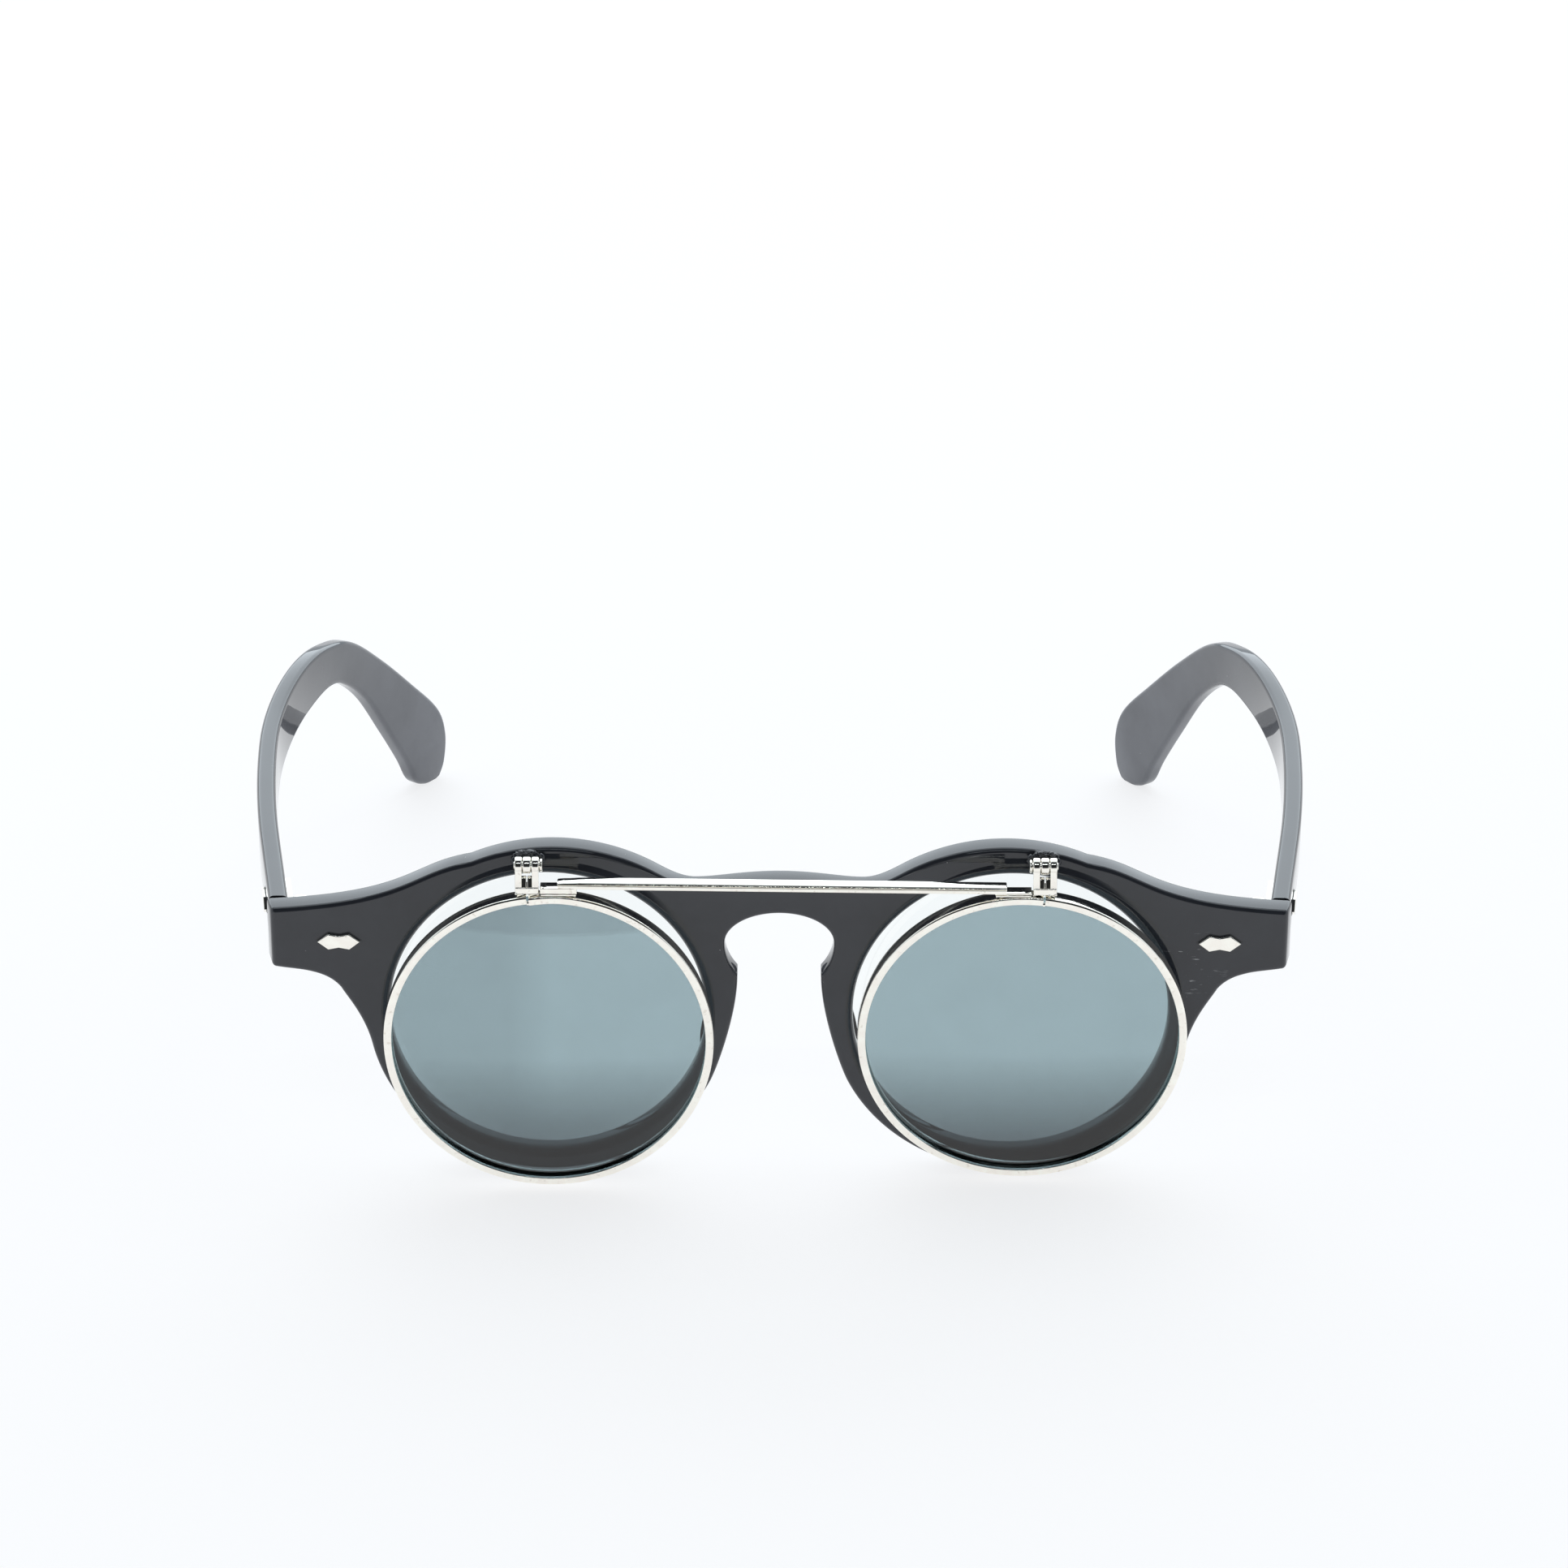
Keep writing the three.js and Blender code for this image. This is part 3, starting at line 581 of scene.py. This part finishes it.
def add_lens(bm, radius, edge, centre):
    """A lens that bulges towards the front, with a flat edge."""
    rings = 14
    spots = [(radius * i / rings, LENS_SAG * (1 - (i / rings) ** 2)) for i in range(rings + 1)]
    front_face = [(r, -edge / 2 - bulge) for r, bulge in spots]
    back_face = [(r, edge / 2 - bulge) for r, bulge in reversed(spots)]
    add_turned(bm, front_face + back_face, centre, "Y", segments=128)


def lenses():
    for side, flip in SIDES:
        bm = bmesh.new()
        middle = (OPENING_X, FRONT_THICKNESS / 2, OPENING_Z)
        add_lens(bm, CLEAR_LENS_RADIUS, CLEAR_LENS_EDGE, middle)
        to_piece(
            f"base_lens_{side}", bm, TO_ROW @ flip, CLEAR, "front",
            [f"clear_lens_{side}"],
        )
        bm = bmesh.new()
        add_lens(bm, FLIP_LENS_RADIUS, FLIP_LENS_EDGE, RIM_CENTRE)
        to_piece(
            f"sun_lens_{side}", bm, hung_rim(side) @ flip, TINTED, "flip_unit",
            [f"flip_lens_{side}"],
        )


# ---- Rivets and temple hinges ---------------------------------------------------------------


def plaque_outline(grow=0.0):
    """Six-sided, pinched at the waist, and clockwise so that inset moves inward."""
    end, corner = RIVET_LENGTH / 2, RIVET_LENGTH / 2 - 1.5
    tall, waist = RIVET_HEIGHT / 2, RIVET_WAIST / 2
    upper = [(end, 0), (corner, tall), (0, waist), (-corner, tall)]
    outline = upper + [(-x, -z) for x, z in upper]
    return [tuple(p) for p in inset(outline, -grow)]


def add_plaque(bm, proud):
    add_plate(bm, [plaque_outline()], -proud, 0, [0.16])


def on_temple(outward, along, up):
    """The place of something on the temple's straight stretch, with its own x along it."""
    turn = Matrix.Rotation(-math.radians(TEMPLE_SPLAY), 4, "Z")
    base = Matrix.Translation((TEMPLE_X, TEMPLE_Y, 0)) @ turn
    return base @ Matrix.Translation((outward, along, up)) @ Matrix.Rotation(math.pi / 2, 4, "Z")


def rivets():
    on_front = Matrix.Translation((RIVET_X, 0, RIVET_Z))
    on_side = on_temple(TEMPLE_THICKNESS, TEMPLE_RIVET_AT, RIVET_Z)
    kinds = (("front_rivet", on_front, "front"), ("temple_rivet", on_side, "temple"))
    for side, flip in SIDES:
        for node, place, part in kinds:
            body = part if part == "front" else f"temple_{side}"
            bm = bmesh.new()
            add_plaque(bm, RIVET_PROUD)
            to_piece(
                f"{node}_plaque_{side}", bm, TO_ROW @ flip @ place, PLATED, body,
                [f"{node}_{side}"], sharp=25,
            )
            bm = bmesh.new()
            add_plate(bm, [plaque_outline(0.16)], -0.03, 0.2, [0.02])
            to_piece(f"{node}_seat_{side}", bm, TO_ROW @ flip @ place, SEAT, body)


def finish_hinge_nodes():
    """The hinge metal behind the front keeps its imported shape, with its edges broken."""
    for side, _ in SIDES:
        for kind in ("hinge_front_leaf", "hinge_screw", "hinge_temple_leaf"):
            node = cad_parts[f"{kind}_{side}"]
            node.data.materials.clear()
            node.data.materials.append(HINGE_METAL)
            bevel = node.modifiers.new("broken edges", "BEVEL")
            bevel.width = 0.08 * MM
            bevel.segments = 2
            bevel.limit_method = "ANGLE"
            bevel.angle_limit = math.radians(40)


# ---- Temples --------------------------------------------------------------------------------


def temple_plan(distance):
    """Point and outward angle of the inner face at a distance along it, seen from above."""
    x, y, angle = TEMPLE_X, TEMPLE_Y, math.radians(TEMPLE_SPLAY)
    left = distance
    for length, turn in TEMPLE_PLAN:
        step = min(left, length)
        rate = math.radians(turn) / length
        following = angle + rate * step
        if rate == 0:
            x += step * math.sin(angle)
            y += step * math.cos(angle)
        else:
            x += (math.cos(angle) - math.cos(following)) / rate
            y += (math.sin(following) - math.sin(angle)) / rate
        angle = following
        left -= step
        if left <= 0:
            break
    return x, y, angle


def temple_ring(top, low):
    """Points round the temple at one pair of edge points, with rounded corners."""
    reach = (top - low).length
    corner = min(TEMPLE_CORNER, reach * 0.35, TEMPLE_THICKNESS * 0.35)
    height, width = reach / 2 - corner, TEMPLE_THICKNESS / 2 - corner
    middle, up = (top + low) / 2, (top - low).normalized()
    ring = []
    for start, side, level in ((0, 1, 1), (90, -1, 1), (180, -1, -1), (270, 1, -1)):
        for step in range(6):
            angle = math.radians(start + 90 * step / 5)
            out = TEMPLE_THICKNESS / 2 + side * width + corner * math.cos(angle)
            point = middle + up * (level * height + corner * math.sin(angle))
            x, y, heading = temple_plan(point.x)
            ring.append((x + out * math.cos(heading), y - out * math.sin(heading), point.y))
    return ring


def temples():
    edges = list(zip(spline(TEMPLE_TOP, 10), spline(TEMPLE_LOW, 10)))
    for side, flip in SIDES:
        bm = bmesh.new()
        rings = [[bm.verts.new(p) for p in temple_ring(top, low)] for top, low in edges]
        for first, second in zip(rings, rings[1:]):
            bridge(bm, first, second)
        bm.faces.new(rings[-1])
        everything = bm.verts[:] + bm.edges[:] + bm.faces[:]
        front_end = bmesh.ops.bisect_plane(
            bm, geom=everything, plane_co=(0, TEMPLE_Y, 0), plane_no=(0, -1, 0), clear_outer=True
        )
        border = [e for e in front_end["geom_cut"] if isinstance(e, bmesh.types.BMEdge)]
        bmesh.ops.contextual_create(bm, geom=border)
        to_piece(
            f"temple_arm_{side}", bm, TO_ROW @ flip, TEMPLE_PLASTIC,
            f"temple_{side}", [f"temple_{side}"],
        )


# ---- Flip hinges ----------------------------------------------------------------------------


def knuckle(bm, start, end, y, z):
    """One knuckle of a flip hinge, between two places along the axis."""
    profile = rounded_rod(KNUCKLE_RADIUS, end - start, 0.18)
    add_turned(bm, profile, (FLIP_AXIS.x + (start + end) / 2, y, z), "X", segments=40)


def flip_hinges():
    x = FLIP_AXIS.x
    half = CENTRE_KNUCKLE / 2
    for side, flip in SIDES:
        bm = bmesh.new()
        knuckle(bm, -half, half, FLIP_AXIS.y, FLIP_AXIS.z)
        root = (x - half, x + half), (FLIP_AXIS.y, 1), (FLIP_AXIS.z - 0.8, FLIP_AXIS.z + 0.2)
        add_box(bm, *root)
        to_piece(
            f"hinge_root_{side}", bm, FLIP_HINGES @ flip, PLATED, "front",
            [f"flip_hinge_base_{side}"],
        )

        bm = bmesh.new()
        shank = rounded_rod(0.5, 2 * ARM_END + 0.3, 0.1)
        add_turned(bm, shank, FLIP_AXIS, "X", segments=32)
        head = (x - ARM_END - 0.28, FLIP_AXIS.y, FLIP_AXIS.z)
        add_turned(bm, rounded_rod(0.9, 0.36, 0.14), head, "X", segments=40)
        to_piece(
            f"hinge_pin_{side}", bm, FLIP_HINGES @ flip, PLATED, "front",
            [f"flip_hinge_pin_{side}"],
        )

        bm = bmesh.new()
        for start, end in ((-ARM_END, -ARM_START), (ARM_START, ARM_END)):
            knuckle(bm, start, end, 0, 0)
            add_box(bm, (x + start + 0.05, x + end - 0.05), (-1.12, -0.2), (-3, -0.2), 0.1)
            middle = x + math.copysign(0.07, start)
            add_box(bm, (middle, x + (start + end) / 2), (-1.05, -0.3), (-3, -1.4), 0.1)
        for vert in bm.verts:
            vert.co.y -= ARM_SLOPE * max(0, ARM_SLOPE_FROM - vert.co.z)
        add_box(bm, (x - 1.6, x + 1.6), (-1.9, -0.1), (-3.55, -2.5), 0.16)
        for bead_x, bead_z in ((-1.45, -3.5), (0.6, -3.5), (1.4, -3.45)):
            add_bead(bm, (x + bead_x, -1.8, bead_z), (0.24, 0.2, 0.2), 0.05)
        to_piece(
            f"hinge_fork_{side}", bm, FLIP_UNIT @ flip, PLATED, "flip_unit",
            [f"flip_hinge_fork_{side}"],
        )


# ---- Rims and brow bar ----------------------------------------------------------------------


def rim_profile():
    """A closed section of (radius, y): rounded outside, with the lens groove inside."""
    edge = RIM_DEPTH / 2
    points = []
    for r, y, radius, start in (
        (RIM_OUTER - 0.3, 0.3 - edge, 0.3, -90),
        (RIM_OUTER - 0.3, edge - 0.3, 0.3, 0),
        (RIM_INNER + 0.12, edge - 0.12, 0.12, 90),
    ):
        points += arc(r, y, radius, start, start + 90, step=18)
    groove = RIM_INNER + 0.5
    points += [(RIM_INNER, 0.75), (groove, 0.55), (groove, -0.55), (RIM_INNER, -0.75)]
    return points + arc(RIM_INNER + 0.12, 0.12 - edge, 0.12, 180, 270, step=18)


def rims():
    """Each rim is a bent wire whose ends meet under its hinge, one end a little low."""
    profile = rim_profile()
    split = math.atan2(-RIM_CENTRE.z - 3.5, FLIP_AXIS.x - RIM_CENTRE.x)
    gap, kink_reach = 0.012, 0.12  # radians
    segments = 200
    for side, flip in SIDES:
        kink = 0.22 if side == "left" else 0.06
        bm = bmesh.new()
        rings = []
        for i in range(segments + 1):
            turned = gap / 2 + (2 * math.pi - gap) * i / segments
            angle = split + turned
            drop = kink * math.exp(-((turned / kink_reach) ** 2))
            ring = []
            for r, y in profile:
                spot = Vector(((r - drop) * math.cos(angle), y, (r - drop) * math.sin(angle)))
                ring.append(bm.verts.new(RIM_CENTRE + spot))
            rings.append(ring)
        for first, second in zip(rings, rings[1:]):
            bridge(bm, first, second)
        bm.faces.new(rings[0])
        bm.faces.new(rings[-1])
        solder = RIM_CENTRE + 21.75 * Vector((math.cos(split), 0, math.sin(split)))
        add_bead(bm, solder + Vector((0, -1.1, 0)), (0.3, 0.25, 0.3), 0.04)
        to_piece(
            f"rim_wire_{side}", bm, hung_rim(side) @ flip, PLATED, "flip_unit",
            [f"flip_rim_{side}"], sharp=30,
        )


def brow_bar():
    """The left end is pinched to a taper, and the right end is sawn square."""
    stations = [(0, 0.62), (0.15, 0.72), (0.8, 0.8), (1.8, 0.84), (2.8, 0.95), (3.8, 1)]
    length = BAR_RIGHT - BAR_LEFT
    stations += [(x, 1) for x in range(6, length, 5)] + [(length - 0.1, 1), (length, 0.9)]
    bm = bmesh.new()
    rings = []
    for x, size in stations:
        ring = []
        for y, z in BAR_SECTION:
            y = BAR_MIDDLE[0] + (y - BAR_MIDDLE[0]) * (0.5 + 0.5 * size)
            z = BAR_MIDDLE[1] + (z - BAR_MIDDLE[1]) * size
            ring.append(bm.verts.new((x - length, y, z)))
        rings.append(ring)
    for first, second in zip(rings, rings[1:]):
        bridge(bm, first, second)
    bm.faces.new(rings[0])
    bm.faces.new(rings[-1])
    rise = Matrix.Rotation(math.radians(BAR_RISE), 4, "Y")
    place = FLIP_UNIT @ Matrix.Translation((BAR_RIGHT, 0, 0)) @ rise
    to_piece("bar", bm, place, PLATED, "flip_unit", ["brow_bar"], sharp=28)


def bar_feet():
    for side, flip in SIDES:
        bm = bmesh.new()
        left, right = FOOT_X
        add_box(bm, (left, right), (-2.2, -0.4), (-3.3, FOOT_TOP[side]), 0.1)
        add_box(bm, (left + 0.1, right - 0.1), (-2.3, -0.5), (-3.55, -3.3), 0.08)
        to_piece(
            f"foot_{side}", bm, FLIP_UNIT @ flip, PLATED, "flip_unit",
            [f"bar_foot_{side}"],
        )


# ---- Stage, light and camera ----------------------------------------------------------------


def stage():
    bm = bmesh.new()
    bmesh.ops.create_grid(bm, x_segments=1, y_segments=1, size=4)
    mesh = bpy.data.meshes.new("floor")
    bm.to_mesh(mesh)
    bm.free()
    paper = Nodes("floor_paper")
    shader = paper.principled(Roughness=0.9, Emission_Strength=0.78)
    shader.inputs["Emission Color"].default_value = (0.985, 0.99, 1, 1)
    shade = paper.ramp(paper.noise(300, 2), 0.3, 0.7)
    tone = paper.blend(shade, (0.24, 0.24, 0.245), (0.25, 0.25, 0.255))
    paper.link(tone, shader.inputs["Base Color"])
    mesh.materials.append(paper.material)
    floor = bpy.data.objects.new("floor", mesh)
    floor.location.z = cad_box[0][2]
    bpy.context.scene.collection.objects.link(floor)


def panel(name, place, aim, size, power):
    """A soft rectangular light that isn't seen itself."""
    data = bpy.data.lights.new(name, "AREA")
    data.shape = "RECTANGLE"
    data.size, data.size_y = size
    data.energy = power
    data.color = (0.86, 0.94, 1)
    lamp = bpy.data.objects.new(name, data)
    lamp.location = place
    lamp.rotation_euler = (Vector(aim) - Vector(place)).to_track_quat("-Z", "Y").to_euler()
    lamp.visible_camera = False
    bpy.context.scene.collection.objects.link(lamp)


def lights():
    """A white room that is dark overhead on the camera's side, two soft panels and a thin strip."""
    world = bpy.data.worlds.new("studio")
    world.use_nodes = True
    nodes, links = world.node_tree.nodes, world.node_tree.links
    direction = nodes.new("ShaderNodeTexCoord")
    facing = nodes.new("ShaderNodeVectorMath")
    facing.operation = "DOT_PRODUCT"
    facing.inputs[1].default_value = Vector((0, -0.6, 0.8))  # the middle of the dark part
    links.new(direction.outputs["Generated"], facing.inputs[0])
    shade = nodes.new("ShaderNodeMapRange")
    shade.interpolation_type = "SMOOTHSTEP"
    for name, number in (("From Min", 0.5), ("From Max", 0.72), ("To Min", 0.85), ("To Max", 0.02)):
        shade.inputs[name].default_value = number
    links.new(facing.outputs["Value"], shade.inputs["Value"])
    links.new(shade.outputs["Result"], nodes["Background"].inputs["Strength"])
    nodes["Background"].inputs["Color"].default_value = (0.88, 0.95, 1, 1)
    bpy.context.scene.world = world
    panel("backdrop", (0, 1.9, 0.95), (0, 0, 0.1), (4.0, 1.5), 34)
    panel("strip", (0, -0.72, 1.02), (0, -0.06, 0.04), (0.5, 0.03), 0.7)
    panel("overhead", (0, 0.5, 1.6), (0, 0, 0), (1.6, 1.2), 5)


def camera():
    elevation, roll = 27.18, 0.14  # degrees
    data = bpy.data.cameras.new("camera")
    data.sensor_width = 36
    data.lens = 132.86
    data.clip_start, data.clip_end = 0.05, 20
    eye = bpy.data.objects.new("camera", data)
    eye.location = Vector((0.6, -697.1 + FACE_Y, 418.8)) * MM
    look_up = Matrix.Rotation(math.radians(90 - elevation), 3, "X")
    eye.rotation_euler = (look_up @ Matrix.Rotation(math.radians(roll), 3, "Z")).to_euler()
    bpy.context.scene.collection.objects.link(eye)
    bpy.context.scene.camera = eye


camera()
stage()
lights()
bpy.context.scene.view_settings.view_transform = "Standard"

front()
melt()
nose_pads()
lenses()
rivets()
finish_hinge_nodes()
temples()
flip_hinges()
rims()
brow_bar()
bar_feet()
